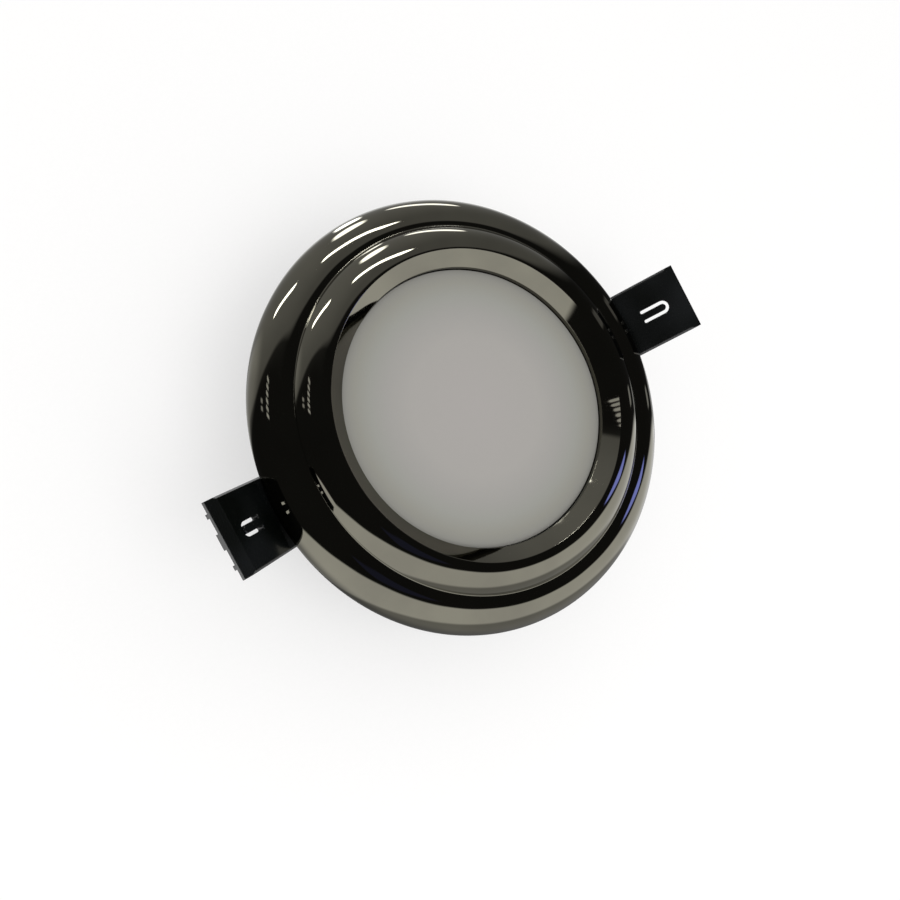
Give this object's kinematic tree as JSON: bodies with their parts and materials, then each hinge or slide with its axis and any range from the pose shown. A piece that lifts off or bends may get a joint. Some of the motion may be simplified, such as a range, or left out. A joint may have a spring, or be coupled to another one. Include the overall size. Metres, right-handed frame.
{
  "type": "recessed light",
  "caption": "Round recessed downlight with a plated two-bead trim, frosted lens and sprung clips that fold back to pass the panel hole and then grip the panel.",
  "frame": {"origin": "centre of the panel hole, on the panel's outer face where the gasket seats", "axes": "+Z the way the light shines, out of the panel; +X towards the right-hand clip; +Y across the clips"},
  "size_m": [0.1472, 0.1142, 0.0434],
  "materials": {
    "black_nickel": "mirror-bright black nickel plating",
    "frosted_lens": "frosted milky polycarbonate",
    "clip_plastic": "satin black moulded nylon",
    "silicone": "translucent grey silicone",
    "white_plastic": "white moulded polycarbonate",
    "led_board_mask": "white solder mask on aluminium",
    "led_phosphor": "yellow phosphor under clear resin",
    "screw_steel": "zinc-plated steel",
    "thermal_pad": "soft filled silicone pad",
    "can_coating": "black powder coat on cast aluminium",
    "clamp_plastic": "black glass-filled nylon",
    "gasket_foam": "closed-cell black foam",
    "spring_steel": "drawn spring wire",
    "driver_board_mask": "green solder mask on glass epoxy",
    "capacitor_sleeve": "dark shrink sleeve",
    "ferrite": "sintered ferrite with lacquered winding",
    "chip_resin": "moulded epoxy",
    "film_capacitor_box": "yellow moulded box",
    "terminal_plastic": "green moulded polyamide",
    "lead_red": "red wire insulation",
    "lead_black": "black wire insulation",
    "grommet_rubber": "black moulded rubber"
  },
  "bodies": {
    "housing": {"trim_bezel": "black_nickel", "lens_seal": "silicone", "diffuser_lens": "frosted_lens", "reflector_cup": "white_plastic", "panel_gasket": "gasket_foam", "clamp_ring": "clamp_plastic", "housing_can": "can_coating", "thermal_pad": "thermal_pad", "led_board": "led_board_mask", "led_packages": "led_phosphor", "bezel_screws": "screw_steel", "led_board_screws": "screw_steel", "driver_board_screws": "screw_steel", "rear_cover_screws": "screw_steel", "driver_board": "driver_board_mask", "driver_capacitor": "capacitor_sleeve", "driver_choke": "ferrite", "driver_chip": "chip_resin", "driver_film_capacitor": "film_capacitor_box", "terminal_block": "terminal_plastic", "led_lead_red": "lead_red", "led_lead_black": "lead_black", "rear_cover_seal": "silicone", "rear_cover": "can_coating", "cable_grommet": "grommet_rubber", "right_hinge_pin": "screw_steel", "left_hinge_pin": "screw_steel", "right_clip_spring": "spring_steel", "left_clip_spring": "spring_steel"},
    "right_clip": {"right_clip": "clip_plastic"},
    "left_clip": {"left_clip": "clip_plastic"}
  },
  "joints": [
    {"name": "right_clip_hinge", "type": "hinge", "parent": "housing", "child": "right_clip", "pos_m": [0.0395, 0, -0.01774], "axis": [0, 1, 0], "range_deg": [0, 133], "stiffness_Nm_per_rad": 0.118, "springref_deg": -34.38, "deforming": ["right_clip_spring"]},
    {"name": "left_clip_hinge", "type": "hinge", "parent": "housing", "child": "left_clip", "pos_m": [-0.0395, 0, -0.01774], "axis": [0, -1, 0], "range_deg": [0, 133], "stiffness_Nm_per_rad": 0.118, "springref_deg": -34.38, "deforming": ["left_clip_spring"]}
  ]
}
